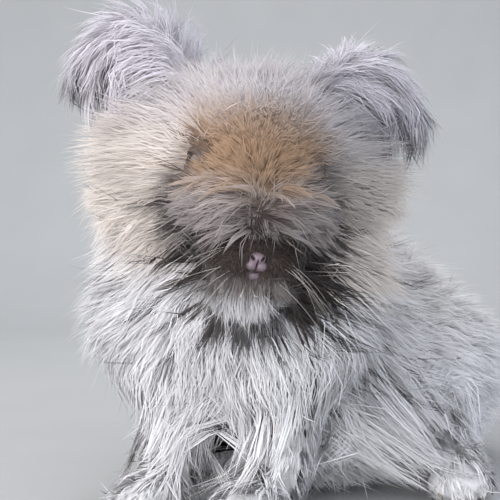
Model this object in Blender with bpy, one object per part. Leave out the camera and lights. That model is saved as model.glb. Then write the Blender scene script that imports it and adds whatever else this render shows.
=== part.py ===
"""A life-size still model of an English Angora rabbit that sits with its head turned to its left.

Metres, +Z up. The rabbit faces -Y, its left side is +X, and the origin is on the floor under the trunk.
Each part has a dense core of coat, half as deep as the coat, and flat tapered locks that grow from it
out to the tips of the coat. A part lies clear of the parts that rabbit() lists before it.
"""

import math
from dataclasses import dataclass, field

import bmesh
import bpy
import numpy as np
from mathutils import Euler, Matrix, Vector
from mathutils.bvhtree import BVHTree

MM = 0.001
GAP = 0.35 * MM
UP = Vector((0, 0, 1))

# Share of the coat's depth that the dense core fills. The locks reach the rest of the way.
CORE = 0.5

# The head's own frame: its origin is midway between the eyes, and -Y runs to the nose.
HEAD_AT = Vector((18, -118, 184)) * MM
HEAD_YAW, HEAD_PITCH, HEAD_ROLL = 32, 6, 8
HEAD = (
    Matrix.Translation(HEAD_AT)
    @ Matrix.Rotation(math.radians(HEAD_YAW), 4, "Z")
    @ Matrix.Rotation(math.radians(HEAD_PITCH), 4, "X")
    @ Matrix.Rotation(math.radians(HEAD_ROLL), 4, "Y")
)
BODY = Matrix.Identity(4)
HEAD_TURN = HEAD.to_3x3()
FACE_CENTRE = HEAD @ (Vector((0, -46, -14)) * MM)

EYE_SPACING = 54
EYE_RADIUS = 9
EYE_BACK, EYE_UP = -13, 1
EYE_LOOK = Vector((0.94, -0.34, 0.08)).normalized()
LID_THICK = 2.2
# No lock grows this near the front of an eye.
EYE_CLEAR = 19

# The ear's half width, wall, and half the arc of its trough at the base and where it is open.
EAR_HALF_WIDTH, EAR_THICK = 23, 4.4
EAR_WRAP, EAR_FLARE = 125, 62
EAR_TIP_FROM = 0.6
FRONT_RIM = Vector((0, -0.85, -0.5))

SIDES = {"left": 1, "right": -1}


@dataclass
class Egg:
    """An egg in mm: centre, then half width, front, back, up and down of the skin and of the coat on it."""

    centre: tuple
    skin: tuple
    coat: tuple = (0, 0, 0, 0, 0)
    turn: tuple = (0, 0, 0)
    plan_power: float = 2.0
    rise_power: float = 2.0
    frame: Matrix = field(default_factory=lambda: BODY)
    segments: int = 12
    rings: int = 8

    def matrix(self):
        angles = Euler([math.radians(a) for a in self.turn])
        here = Matrix.Translation(Vector(self.centre) * MM)
        return self.frame @ here @ angles.to_matrix().to_4x4()

    def mesh(self, share=CORE, grow=0.0):
        """The egg at this share of the coat's depth, as a closed bmesh."""
        wide, front, back, up, down = (
            (s + share * c) * MM + grow for s, c in zip(self.skin, self.coat)
        )
        bm = bmesh.new()
        bmesh.ops.create_uvsphere(
            bm, u_segments=self.segments, v_segments=self.rings, radius=1
        )
        for v in bm.verts:
            x, y, z = v.co
            a, b = self.plan_power, self.rise_power
            flat = (abs(x) ** a + abs(y) ** a) ** (b / a)
            reach = (flat + abs(z) ** b) ** (-1 / b)
            v.co = reach * Vector(
                (x * wide, y * (front if y < 0 else back), z * (down if z < 0 else up))
            )
        bm.transform(self.matrix())
        return bm


@dataclass
class Coat:
    """One kind of lock: how close, long, wide and thick, in mm, and how it lies on its core.

    Its tip stands off the core by lift, or where that is None by the depth of the coat there.
    """

    lie: object
    where: object = None
    spacing: float = 24
    length: float = 62
    width: float = 26
    thick: float = 6
    lift: object = None
    droop: float = 0.3
    cling: float = 0.6
    sway: float = 10
    sink: float = 5


def eye_centre(side):
    return Vector((side * EYE_SPACING / 2, EYE_BACK, EYE_UP))


def turned(vector, side):
    return Vector((side * vector[0], vector[1], vector[2]))


def in_head(point):
    return HEAD.inverted() @ point / MM


# Where each coat lies: a direction at a point of the core, which is then laid along its surface.


def trunk_lie(p, n):
    return Vector((0.7 * math.copysign(1, p.x), 0.55, -1.0))


def chest_lie(p, n):
    return Vector((8 * p.x, -0.1, -1.0))


def neck_lie(p, n):
    return Vector((6 * p.x, 0.6, -1.0))


def haunch_lie(p, n):
    return Vector((0.5 * math.copysign(1, p.x), 0.1, -1.0))


def tail_lie(p, n):
    return Vector((12 * p.x, 0.6, -0.9))


def head_lie(p, n):
    away = (p - FACE_CENTRE).normalized()
    away.z = min(away.z, 0.25)
    return away + 0.5 * (HEAD_TURN @ Vector((0, 1, 0))) - 0.4 * UP


def moustache_lie(p, n):
    side = math.copysign(1, in_head(p).x)
    return HEAD_TURN @ Vector((side, -0.1, 0)) - 0.35 * UP


def beard_lie(p, n):
    side = 0.03 * in_head(p).x
    return HEAD_TURN @ Vector((side, -0.2, 0)) - UP


# Where the locks of the head may grow, in the head's own frame and in mm.


def clear_of_eyes(q):
    looks = [eye_centre(s) + turned(EYE_LOOK, s) * EYE_RADIUS for s in SIDES.values()]
    return all((q - look).length > EYE_CLEAR for look in looks)


def on_ruff(p, n):
    q = in_head(p)
    return clear_of_eyes(q) and (q.y > -14 or abs(q.x) > 34)


def on_moustache(p, n):
    q = in_head(p)
    return q.y < -30 and -36 < q.z < -18 and abs(q.x) > 9 and clear_of_eyes(q)


def on_beard(p, n):
    q = in_head(p)
    return q.y < -12 and q.z < -50 and n.z < 0.3


RUFF = Egg(
    centre=(0.8, 36, -6),
    skin=(30, 34, 34, 34, 34),
    coat=(60, 28, 38, 28, 42),
    frame=HEAD,
    segments=20,
    rings=12,
)
# Their centres lie a little to either side of the middle, so that no two meet edge on edge.
FACE = [
    Egg((0.3, 4, 4), (33, 30, 30, 28, 28), (4, 4, 0, 6, 0), frame=HEAD),
    Egg(
        centre=(-0.4, -19, -10),
        skin=(28, 32, 28, 20, 20),
        coat=(12, 10, 0, 9, 4),
        turn=(38, 0, 0),
        frame=HEAD,
        segments=14,
    ),
    Egg((0.6, -36, -38), (20, 18, 18, 15, 15), (5, 2, 0, 2, 6), frame=HEAD),
    Egg((9.3, -43, -42), (11, 11, 12, 11, 10), (4, 2, 0, 0, 4), frame=HEAD, segments=10, rings=7),
    Egg((-8.8, -43, -42), (11, 11, 12, 11, 10), (4, 2, 0, 0, 4), frame=HEAD, segments=10, rings=7),
    Egg((-0.7, -35, -54), (12, 13, 14, 9, 8), (4, 2, 0, 0, 6), frame=HEAD, segments=10, rings=7),
    Egg((0.2, -53, -37), (6.5, 5, 8, 4, 5), frame=HEAD, segments=10, rings=6),
]
TRUNK = Egg(
    centre=(0, 45, 42),
    skin=(68, 118, 118, 106, 60),
    coat=(40, 25, 27, 40, 8),
    plan_power=2.2,
    rise_power=1.55,
    segments=20,
    rings=11,
)
CHEST = Egg(
    centre=(-8, -84, 104),
    skin=(52, 42, 50, 58, 40),
    coat=(42, 28, 10, 10, 20),
    plan_power=2.2,
    segments=18,
    rings=11,
)
NECK = Egg((-2.5, -66, 142), (38, 34, 44, 45, 45), (34, 26, 30, 12, 10), segments=14)
TAIL = Egg((2, 172, 66), (11, 16, 16, 24, 20), (20, 8, 20, 14, 12))


def haunch(side):
    """The thigh, folded along the side of the trunk."""
    return Egg(
        centre=(side * 60, 92, 56),
        skin=(28, 56, 50, 48, 50),
        coat=(26, 24, 22, 20, 6),
        plan_power=2.2,
        segments=16,
        rings=10,
    )


# Where each foot rests: its heel or wrist, then the tips of its toes, on the floor and in mm.
HIND_FEET = {"left": ((68, 66), (112, -42)), "right": ((-66, 62), (-86, -34))}
FORE_FEET = {"left": ((29, -104), (23, -166)), "right": ((-32, -106), (-36, -154))}


def foot(heel, toes, half_width, height, coat):
    """A furred foot along the floor: its sole and, rounder and lower, its bunched toes."""
    heel, toes = Vector(heel), Vector(toes)
    run = toes - heel
    turn = math.degrees(math.atan2(run.x, -run.y))
    middle = (heel + toes) / 2
    ahead = run.normalized()
    ball = toes - ahead * half_width + Vector((-ahead.y, ahead.x)) * 0.8
    sole = Egg(
        centre=(*middle, height * 0.45),
        skin=(half_width, run.length / 2, run.length / 2, height * 0.55, height * 0.55),
        coat=(coat, coat / 2, coat, coat, 0),
        turn=(0, 0, turn),
        rise_power=2.4,
    )
    toe_end = Egg(
        centre=(*ball, height * 0.38),
        skin=(half_width * 1.1, half_width, half_width, height * 0.4, height * 0.4),
        coat=(coat * 0.8, coat * 0.8, 0, coat * 0.6, 0),
        turn=(0, 0, turn),
        rise_power=2.4,
        segments=10,
        rings=6,
    )
    return [sole, toe_end]


def shank(top, wrist, radius):
    """The upright part of a foreleg, from inside the chest down to the wrist."""
    top, wrist = Vector(top), Vector(wrist)
    run = wrist - top
    tilt = math.degrees(math.atan2(run.y, -run.z))
    middle = (top + wrist) / 2
    return Egg(
        centre=tuple(middle),
        skin=(radius, radius, radius, run.length / 2 + 8, run.length / 2 + 8),
        coat=(9, 9, 9, 0, 0),
        turn=(tilt, 0, 0),
        rise_power=3,
    )


@dataclass
class Ear:
    """A folded ear: a trough that arches out of the head, opens below, and droops to its tip.

    Its ridge is a curve from the base through the bend to the tip, in the head's own frame and in mm.
    """

    base: tuple
    bend: tuple
    tip: tuple
    side: int
    rows: int = 9
    columns: int = 7

    def ridge(self, along):
        base, bend, tip = (HEAD @ (Vector(p) * MM) for p in (self.base, self.bend, self.tip))
        return base * (1 - along) ** 2 + bend * 2 * along * (1 - along) + tip * along**2

    def frame(self, along):
        """The ridge's point, and the directions along it, into the opening and to the front rim."""
        ahead = (self.ridge(along + 0.01) - self.ridge(along - 0.01)).normalized()
        front = HEAD_TURN @ FRONT_RIM
        front = (front - ahead * front.dot(ahead)).normalized()
        return self.ridge(along), ahead, ahead.cross(front) * self.side, front

    def point(self, along, across, off):
        """A point of the ear: along from 0 to 1, across from -1 to 1, off the middle of its wall."""
        ridge, _, opening, front = self.frame(along)
        inside = min(1.0, max(0.0, along))
        swell = 0.42 + 0.58 * math.sin(math.pi * (0.05 + 0.8 * inside))
        tip = max(0.0, (inside - EAR_TIP_FROM) / (1 - EAR_TIP_FROM))
        half_width = EAR_HALF_WIDTH * MM * swell * (1 - 0.8 * tip**2.5)
        half_angle = math.radians(EAR_WRAP + (EAR_FLARE - EAR_WRAP) * min(1.0, inside / 0.5))
        radius = half_width / math.sin(min(half_angle, math.pi / 2))
        angle = across * half_angle
        out = radius + off
        return ridge + front * out * math.sin(angle) + opening * (radius - out * math.cos(angle))

    def mesh(self, share=CORE, grow=0.0):
        wall = EAR_THICK * MM / 2 + grow
        beyond = grow / (EAR_HALF_WIDTH * MM)
        bm = bmesh.new()

        alongs, acrosses = list(np.linspace(0, 1, self.rows)), list(np.linspace(-1, 1, self.columns))
        if grow:
            alongs = [-beyond, *alongs, 1 + beyond]
            acrosses = [-1 - beyond, *acrosses, 1 + beyond]

        def sheet(off):
            return [[bm.verts.new(self.point(r, c, off)) for c in acrosses] for r in alongs]

        outer, inner = sheet(wall), sheet(-wall)
        for a, b in [*zip(outer, outer[1:]), *zip(inner, inner[1:])]:
            bridge(bm, a, b)
        for end in (0, -1):
            bridge(bm, outer[end], inner[end])
            bridge(bm, [row[end] for row in outer], [row[end] for row in inner])
        return bm


def bridge(bm, a, b):
    """Triangles between two rows of vertices."""
    for a1, a2, b1, b2 in zip(a, a[1:], b, b[1:]):
        bm.faces.new((a1, a2, b2))
        bm.faces.new((a1, b2, b1))


EARS = {
    "left": Ear(base=(24, 34, 32), bend=(72, 60, 92), tip=(97, 56, 40), side=1),
    "right": Ear(base=(-22, 38, 30), bend=(-70, 82, 98), tip=(-92, 68, 38), side=-1),
}


def along_ear(ear, p):
    """How far along the ear's ridge a point lies, from 0 to 1."""
    return min(np.linspace(0, 1, 21), key=lambda t: (ear.ridge(t) - p).length)


def ear_lie(ear):
    def lie(p, n):
        ridge, ahead, _, _ = ear.frame(along_ear(ear, p))
        return ahead * 0.8 + (p - ridge) / (EAR_HALF_WIDTH * MM) - 0.4 * UP

    return lie


def ear_where(ear):
    def where(p, n):
        _, _, opening, _ = ear.frame(along_ear(ear, p))
        return along_ear(ear, p) > 0.35 and n.dot(opening) < 0.5

    return where


# The seed that each part's locks are drawn with.
SEEDS = {
    "ear_left": 3,
    "ear_right": 1,
    "head": 1,
    "neck": 1,
    "chest": 1,
    "foreleg_left": 1,
    "foreleg_right": 1,
    "hindleg_left": 1,
    "hindleg_right": 1,
    "tail": 1,
    "trunk": 2,
}

# Making the solids.

# A lock's width and thickness at its stations, its least lift and how it rises along its length.
STATIONS = 3
WIDTH_AT = (0.6, 1.0, 0.7)
THICK_AT = (0.9, 1.0, 0.75)
LEAST_LIFT, RISE = 0.4, 1.2
LOW_FACE, RIDGE = 0.3, 0.7
WALL_REACH = 18 * MM
# How much more than the gap a cutter's locks grow at their edges and at their faces.
EDGE_GROW, FACE_GROW = 7, 1.5
# A lock is made shorter until no step of it is too short and no bend too sharp.
SHORTEST_STEP, SHARPEST_KINK = 0.42, 0.5
LENGTHS_TRIED = (1, 0.82, 0.66, 0.5)
RAY = Vector((0.31, -0.17, 0.94)).normalized()
RAY_STEP = 1e-6
TRIES = 14


def settled(name, bm):
    """A mesh of the bmesh's triangles, each from its lowest vertex on, in an order that never varies."""
    bmesh.ops.triangulate(bm, faces=bm.faces)
    bm.verts.index_update()
    faces = []
    for face in bm.faces:
        a, b, c = (v.index for v in face.verts)
        faces.append(min((a, b, c), (b, c, a), (c, a, b)))
    mesh = bpy.data.meshes.new(name)
    mesh.from_pydata([v.co[:] for v in bm.verts], [], sorted(faces))
    bm.free()
    return mesh


def new_object(name, bm, collection=None):
    bmesh.ops.triangulate(bm, faces=bm.faces)
    bmesh.ops.recalc_face_normals(bm, faces=bm.faces)
    mesh = settled(name, bm)
    obj = bpy.data.objects.new(name, mesh)
    (collection or bpy.context.scene.collection).objects.link(obj)
    return obj


def remove(obj):
    mesh = obj.data
    bpy.data.objects.remove(obj)
    bpy.data.meshes.remove(mesh)


def combine(obj, operation, meshes):
    """Joins closed bmeshes to the object, or cuts them from it, with one Boolean."""
    others = bpy.data.collections.new("others")
    bpy.context.scene.collection.children.link(others)
    for bm in meshes:
        new_object("other", bm, others)
    modifier = obj.modifiers.new("combine", "BOOLEAN")
    modifier.operation = operation
    modifier.operand_type = "COLLECTION"
    modifier.collection = others
    modifier.solver = "MANIFOLD"
    graph = bpy.context.evaluated_depsgraph_get()
    result = bmesh.new()
    result.from_mesh(obj.evaluated_get(graph).to_mesh())
    old = obj.data
    obj.modifiers.clear()
    obj.data = settled(obj.name, result)
    bpy.data.meshes.remove(old)
    for other in list(others.objects):
        remove(other)
    bpy.data.collections.remove(others)


def united(name, meshes):
    obj = new_object(name, meshes[0])
    if len(meshes) > 1:
        combine(obj, "UNION", meshes[1:])
    return obj


def mesh_of(obj):
    bm = bmesh.new()
    bm.from_mesh(obj.data)
    return bm


def tree_of(obj):
    bm = mesh_of(obj)
    tree = BVHTree.FromBMesh(bm)
    bm.free()
    return tree


def keep_largest(obj):
    """Drops all but the largest closed surface."""
    bm = mesh_of(obj)
    left, shells = set(bm.faces), []
    while left:
        shell, edge_of_shell = set(), [left.pop()]
        while edge_of_shell:
            face = edge_of_shell.pop()
            shell.add(face)
            for edge in face.edges:
                for other in edge.link_faces if len(edge.link_faces) == 2 else ():
                    if other in left:
                        left.remove(other)
                        edge_of_shell.append(other)
        shells.append(shell)
    volumes = [
        sum(f.verts[0].co.dot(f.verts[1].co.cross(f.verts[2].co)) for f in s) for s in shells
    ]
    kept = shells[int(np.argmax(volumes))]
    loose = [f for f in bm.faces if f not in kept]
    bmesh.ops.delete(bm, geom=loose, context="FACES")
    bm.to_mesh(obj.data)
    bm.free()


def signed_distance(tree, point):
    """(distance outside the surface, nearest point, its normal)."""
    near, normal, _, _ = tree.find_nearest(point)
    return (point - near).dot(normal), near, normal


def is_inside(tree, point):
    """Whether a ray from the point meets the closed surface an odd number of times."""
    hits, start = 0, point
    while True:
        hit, _, _, _ = tree.ray_cast(start, RAY)
        if hit is None:
            return hits % 2 == 1
        hits += 1
        start = hit + RAY * RAY_STEP


def roots_on(obj, coat, rng):
    """Points and normals spread evenly over the surface, at least the coat's spacing apart."""
    bm = mesh_of(obj)
    areas = np.array([f.calc_area() for f in bm.faces])
    spacing = coat.spacing * MM
    count = int(TRIES * areas.sum() / spacing**2)
    bm.faces.ensure_lookup_table()
    taken = []
    for index in rng.choice(len(areas), count, p=areas / areas.sum()):
        face = bm.faces[index]
        a, b = sorted(rng.random(2))
        weights = (a, b - a, 1 - b)
        point = sum((v.co * w for v, w in zip(face.verts, weights)), Vector())
        if coat.where and not coat.where(point, face.normal):
            continue
        if all((point - other).length > spacing for other, _ in taken):
            taken.append((point, face.normal.copy()))
    bm.free()
    return taken


def laid(direction, normal, turn=0.0):
    """The direction laid along the surface, and turned about the normal."""
    flat = direction - normal * direction.dot(normal)
    flat.normalize()
    return Matrix.Rotation(turn, 3, normal) @ flat


def depth_over(near, out, tips):
    """How far the coat reaches beyond a point of the core, to the surface through its tips."""
    hit, _, _, far = tips.ray_cast(near, out)
    return far if hit else 0.0


def lock_path(root, normal, coat, shorter, tree, tips, walls, rng):
    """A lock from its sunk root to its tip: its stations, then its tip.

    A station is a point, the directions to the lock's side and off the body, half width, and thickness.
    """
    size = rng.uniform(0.88, 1.12)
    length = coat.length * size * shorter * MM
    thick = coat.thick * MM
    sway = math.radians(coat.sway * rng.uniform(-1, 1))
    point, out = root.copy(), normal
    centres, outs = [root - normal * coat.sink * MM], [normal]
    for k in range(1, STATIONS + 1):
        share = k / STATIONS
        flow = laid(coat.lie(point, out), out, sway * share)
        heading = (flow - UP * coat.droop * share).normalized()
        point = point + heading * length / STATIONS
        far, near, beside = signed_distance(tree, point)
        reach = depth_over(near, beside, tips) if coat.lift is None else coat.lift * MM
        height = LEAST_LIFT * thick + (reach - LEAST_LIFT * thick) * share**RISE
        point = point + beside * (height - far) * (1 if far < height else coat.cling)
        for wall in walls:
            far, near, wall_out = signed_distance(wall, point)
            if far < thick and (point - near).length < WALL_REACH:
                point = near + wall_out * thick
        point.z = max(point.z, thick)
        out = (out + beside).normalized()
        centres.append(point)
        outs.append(out)
    stations = []
    for k in range(STATIONS):
        along = (centres[k + 1] - centres[k]).normalized()
        up = (outs[k] - along * outs[k].dot(along)).normalized()
        stations.append(
            (
                centres[k],
                along.cross(up),
                up,
                coat.width * size * MM / 2 * WIDTH_AT[k],
                thick * THICK_AT[k],
            )
        )
    return stations, centres[-1]


def runs_smoothly(path):
    """Whether the lock neither kinks nor twists, so that its mesh doesn't pass through itself."""
    stations, tip = path
    points = [station[0] for station in stations] + [tip]
    steps = [b - a for a, b in zip(points, points[1:])]
    longest = max(step.length for step in steps)
    ups = [station[2] for station in stations]
    return (
        all(step.length > SHORTEST_STEP * longest for step in steps)
        and all(a.normalized().dot(b.normalized()) > SHARPEST_KINK for a, b in zip(steps, steps[1:]))
        and all(a.dot(b) > SHARPEST_KINK for a, b in zip(ups, ups[1:]))
    )


def lock_mesh(path, grow=0.0):
    """A flat, tapered lock with a low ridge along its outer face, as a closed bmesh."""
    stations, tip = path
    bm = bmesh.new()
    rings = []
    back = (stations[0][0] - stations[1][0]).normalized() * 2 * grow
    for point, side, up, half_width, thick in stations:
        half_width += EDGE_GROW * grow
        low, high = LOW_FACE * thick + FACE_GROW * grow, RIDGE * thick + FACE_GROW * grow
        corners = (
            point - side * half_width - up * low,
            point + side * half_width - up * low,
            point + up * high,
        )
        rings.append([bm.verts.new(corner + back) for corner in corners])
        back = Vector()
    ahead = (tip - stations[-1][0]).normalized()
    end = bm.verts.new(tip + ahead * EDGE_GROW * grow)
    bm.faces.new(rings[0])
    for a, b in zip(rings, rings[1:]):
        bridge(bm, [*a, a[0]], [*b, b[0]])
    for i in range(3):
        bm.faces.new((rings[-1][i], end, rings[-1][(i + 1) % 3]))
    return bm


@dataclass
class Part:
    """A node: the pieces of its core, its coats, what is cut out of it, its colour and roughness."""

    name: str
    pieces: list
    colour: tuple
    coats: tuple = ()
    cuts: tuple = ()
    roughness: float = 0.9


def ball(side, radius):
    return Egg(tuple(eye_centre(side)), (radius,) * 5, frame=HEAD, segments=14)


def lid_opening(side):
    """The almond between the lids, which reaches out of the eyeball along its look."""
    turn = -side * math.degrees(math.atan2(EYE_LOOK.x, -EYE_LOOK.y))
    at = eye_centre(side) + turned(EYE_LOOK, side) * (EYE_RADIUS + 2)
    return Egg(tuple(at), (7.5, 9, 9, 5, 4.6), turn=(0, 0, -turn), frame=HEAD)


def face_cuts():
    """The nostrils, the split in the upper lip and the line of the mouth."""
    nostrils = [
        Egg((s * 3.3, -57.5, -37), (1.4, 4, 5, 2.6, 2.6), turn=(0, s * 35, 0), frame=HEAD, segments=8)
        for s in SIDES.values()
    ]
    split = Egg((0, -55, -46), (0.9, 5, 5, 7, 5), frame=HEAD, segments=8, rings=8)
    mouth = Egg((0, -47, -51.5), (12, 14, 8, 1.2, 1.2), frame=HEAD, segments=16, rings=6)
    return nostrils + [split, mouth]


WHITE, CREAM = (0.82, 0.80, 0.80), (0.80, 0.74, 0.68)
GREY, FAWN = (0.62, 0.60, 0.64), (0.55, 0.42, 0.31)
DARK_EYE = (0.03, 0.02, 0.02)

RUFF_COAT = Coat(
    head_lie, on_ruff, spacing=29, length=66, width=38, droop=0.4, cling=0.5
)
MOUSTACHE_COAT = Coat(
    moustache_lie, on_moustache, spacing=11, length=34, width=12, thick=4, lift=8,
    droop=0.2, cling=0.4, sink=3,
)
BEARD_COAT = Coat(
    beard_lie, on_beard, spacing=13, length=26, width=13, thick=4, lift=6,
    droop=0.5, cling=0.3, sink=3,
)
NECK_COAT = Coat(neck_lie, spacing=36, length=58, width=38)
CHEST_COAT = Coat(
    chest_lie, spacing=27, length=68, width=31, thick=7, droop=0.5, cling=0.5
)
TRUNK_COAT = Coat(trunk_lie, spacing=43, length=98, width=52, thick=9)
TAIL_COAT = Coat(tail_lie, spacing=23, length=38, width=24)


def ear_coat(ear):
    return Coat(
        ear_lie(ear), ear_where(ear), spacing=17, length=38, width=18, thick=4.6, lift=9,
        droop=0.6, cling=0.0, sink=1.6,
    )


def leg_coat(heel, toes, where=None):
    return Coat(
        foot_lie(heel, toes), where, spacing=23, length=38, width=22, thick=5.5, lift=7,
        droop=0.6, cling=0.5, sink=3.5,
    )


def on_thigh(p, n):
    return p.z > 34 * MM or p.y > 20 * MM


def on_hind_foot(p, n):
    return not on_thigh(p, n)


def rabbit():
    """The parts, those that lie over others first."""
    parts = [
        Part(f"eye_{name}", [ball(side, EYE_RADIUS)], DARK_EYE, roughness=0.1)
        for name, side in SIDES.items()
    ]
    parts += [Part(f"ear_{name}", [ear], GREY, (ear_coat(ear),)) for name, ear in EARS.items()]
    lids = [ball(side, EYE_RADIUS + LID_THICK) for side in SIDES.values()]
    openings = [lid_opening(side) for side in SIDES.values()]
    face_coats = (RUFF_COAT, MOUSTACHE_COAT, BEARD_COAT)
    parts += [
        Part("head", [RUFF, *FACE, *lids], FAWN, face_coats, (*openings, *face_cuts())),
        Part("neck", [NECK], CREAM, (NECK_COAT,)),
        Part("chest", [CHEST], WHITE, (CHEST_COAT,)),
    ]
    for name, (wrist, toes) in FORE_FEET.items():
        upright = shank((wrist[0] + 1.3, wrist[1], 82), (wrist[0] + 0.9, wrist[1] - 8, 20), 12)
        pieces = [upright, *foot(wrist, toes, 14, 22, 9)]
        parts.append(Part(f"foreleg_{name}", pieces, CREAM, (leg_coat(wrist, toes),)))
    for name, (heel, toes) in HIND_FEET.items():
        pieces = [haunch(SIDES[name]), *foot(heel, toes, 16, 24, 9)]
        thigh = Coat(haunch_lie, on_thigh, spacing=37, length=80, width=44, thick=8)
        coats = (thigh, leg_coat(heel, toes, on_hind_foot))
        parts.append(Part(f"hindleg_{name}", pieces, WHITE, coats))
    parts.append(Part("tail", [TAIL], WHITE, (TAIL_COAT,)))
    parts.append(Part("trunk", [TRUNK], CREAM, (TRUNK_COAT,)))
    return parts


def foot_lie(heel, toes):
    ahead = Vector((toes[0] - heel[0], toes[1] - heel[1], 0)).normalized()
    middle = Vector((*heel, 0)) * MM

    def lie(p, n):
        away = p - middle
        away.z = 0
        return ahead * 0.5 + away.normalized() * 0.5 - UP * 0.8

    return lie


def give_material(obj, part):
    material = bpy.data.materials.new(part.name)
    material.use_nodes = True
    shader = material.node_tree.nodes["Principled BSDF"]
    shader.inputs["Base Color"].default_value = (*part.colour, 1)
    shader.inputs["Roughness"].default_value = part.roughness
    shader.inputs["Metallic"].default_value = 0.0
    obj.data.materials.clear()
    obj.data.materials.append(material)


def boxes_meet(a, b):
    (a_low, a_high), (b_low, b_high) = (
        (np.min(c, axis=0), np.max(c, axis=0)) for c in (corners(a), corners(b))
    )
    return bool(np.all(a_low < b_high) and np.all(b_low < a_high))


def corners(obj):
    return np.array([v.co[:] for v in obj.data.vertices])


def floor_box():
    bm = bmesh.new()
    bmesh.ops.create_cube(bm, size=1)
    bm.transform(Matrix.Translation((0, 0, -0.5)))
    return bm


def build():
    parts = rabbit()
    cores = [united(part.name + "_core", [m.mesh() for m in part.pieces]) for part in parts]
    outers = [united(part.name + "_tips", [m.mesh(share=1) for m in part.pieces]) for part in parts]
    core_trees, tip_trees = [tree_of(c) for c in cores], [tree_of(o) for o in outers]
    cutters = []
    for k, part in enumerate(parts):
        rng = np.random.default_rng(SEEDS.get(part.name, 0))
        walls = core_trees[:k] + core_trees[k + 1 :]
        paths = []
        for coat in part.coats:
            for root, normal in roots_on(cores[k], coat, rng):
                if not any(is_inside(cover, root) for cover in walls + tip_trees[:k]):
                    for shorter in LENGTHS_TRIED:
                        path = lock_path(
                            root, normal, coat, shorter, core_trees[k], tip_trees[k], walls, rng
                        )
                        if runs_smoothly(path):
                            paths.append(path)
                            break
        solid = united(part.name, [m.mesh() for m in part.pieces] + [lock_mesh(p) for p in paths])
        for cutter in cutters:
            if boxes_meet(solid, cutter):
                combine(solid, "DIFFERENCE", [mesh_of(cutter)])
        combine(solid, "DIFFERENCE", [floor_box(), *(cut.mesh() for cut in part.cuts)])
        keep_largest(solid)
        give_material(solid, part)
        # The locks as they are join the grown ones, which miss them by a hair where a lock twists.
        grown = [m.mesh(grow=GAP) for m in part.pieces]
        grown += [lock_mesh(p, grow) for p in paths for grow in (0, GAP)]
        cutters.append(united(part.name + "_cutter", grown))
    for helper in [*cores, *outers, *cutters]:
        remove(helper)


for old in list(bpy.data.objects):
    bpy.data.objects.remove(old)
build()
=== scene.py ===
"""The looks of the sitting Angora rabbit: one skin, a coat of mesh tufts over it, and the face.

Metres, +Z up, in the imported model's frame. Sizes of the flesh and of the coat's depth are in mm and
repeat those of the part's source. Every tuft grows from the skin and bends over to the surface that
runs through the tips of the coat.
"""

import math
from collections.abc import Callable
from dataclasses import dataclass, field
from functools import cache

import bmesh
import bpy
import numpy as np
from mathutils import Euler, Matrix, Vector, noise
from mathutils.bvhtree import BVHTree


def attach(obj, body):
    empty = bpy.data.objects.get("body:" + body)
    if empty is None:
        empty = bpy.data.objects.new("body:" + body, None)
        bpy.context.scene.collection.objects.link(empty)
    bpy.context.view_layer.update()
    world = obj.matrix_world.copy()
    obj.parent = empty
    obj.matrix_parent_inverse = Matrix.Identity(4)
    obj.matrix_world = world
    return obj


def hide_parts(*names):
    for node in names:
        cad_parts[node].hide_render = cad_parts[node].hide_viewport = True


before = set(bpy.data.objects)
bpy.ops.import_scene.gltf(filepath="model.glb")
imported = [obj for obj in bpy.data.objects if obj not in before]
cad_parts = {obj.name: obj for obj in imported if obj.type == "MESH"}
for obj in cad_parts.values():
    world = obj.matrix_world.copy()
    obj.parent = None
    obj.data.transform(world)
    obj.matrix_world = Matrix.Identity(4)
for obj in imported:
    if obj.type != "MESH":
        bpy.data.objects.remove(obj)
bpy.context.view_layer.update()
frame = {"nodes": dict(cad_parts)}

MM = 0.001
BODY = "root"
DOWN = np.array([0.0, 0.0, -1.0])
SIDES = {"left": 1, "right": -1}

FULLNESS = 1.0

# The head's own frame: its origin is midway between the eyes, and -Y runs to the nose.
HEAD_AT = Vector((18, -118, 184)) * MM
HEAD_YAW, HEAD_PITCH, HEAD_ROLL = 32, 6, 8
HEAD = (
    Matrix.Translation(HEAD_AT)
    @ Matrix.Rotation(math.radians(HEAD_YAW), 4, "Z")
    @ Matrix.Rotation(math.radians(HEAD_PITCH), 4, "X")
    @ Matrix.Rotation(math.radians(HEAD_ROLL), 4, "Y")
)
HEAD_TURN = np.array(HEAD.to_3x3())
# Where the hair of the face parts, and how far from there it lies down.
PARTING, PARTING_REACH = (0, -46, -22), 26

EYE_SPACING = 54
EYE_RADIUS = 9
EYE_BACK, EYE_UP = -13, 1
EYE_LOOK = Vector((0.94, -0.34, 0.08)).normalized()

EAR_HALF_WIDTH, EAR_WALL = 25, 2.4
# The ear's wall is wrapped at its root by the first angle, and opens to the second by its middle.
EAR_WRAP, EAR_FLARE, EAR_OPEN_BY = 125, 62, 0.5
# Its width at the root, its bulge beyond, and where along the ear the bulge's arch begins and ends.
EAR_ROOT_WIDTH, EAR_BULGE, EAR_ARCH_FROM, EAR_ARCH = 0.42, 0.58, 0.05, 0.8
EAR_TIP_FROM, EAR_TIP_CUT, EAR_TIP_POWER = 0.6, 0.8, 2.5
FRONT_RIM = Vector((0, -0.85, -0.5))

# The camera looks at this point of the face from this far, on this side of straight ahead.
CAMERA_TARGET = Vector((17.1, -118.4, 143)) * MM
CAMERA_AZIMUTH, CAMERA_ELEVATION, CAMERA_FAR = 23, 2, 650
CAMERA_LENS, CAMERA_SENSOR = 90, 36


def smooth(low, high, x):
    """0 below low, 1 above high, and a soft step between."""
    t = np.clip((x - low) / (high - low), 0, 1)
    return t * t * (3 - 2 * t)


def unit(v):
    return v / np.maximum(np.linalg.norm(v, axis=-1, keepdims=True), 1e-9)


def dot(a, b):
    return np.sum(a * b, axis=-1, keepdims=True)


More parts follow.
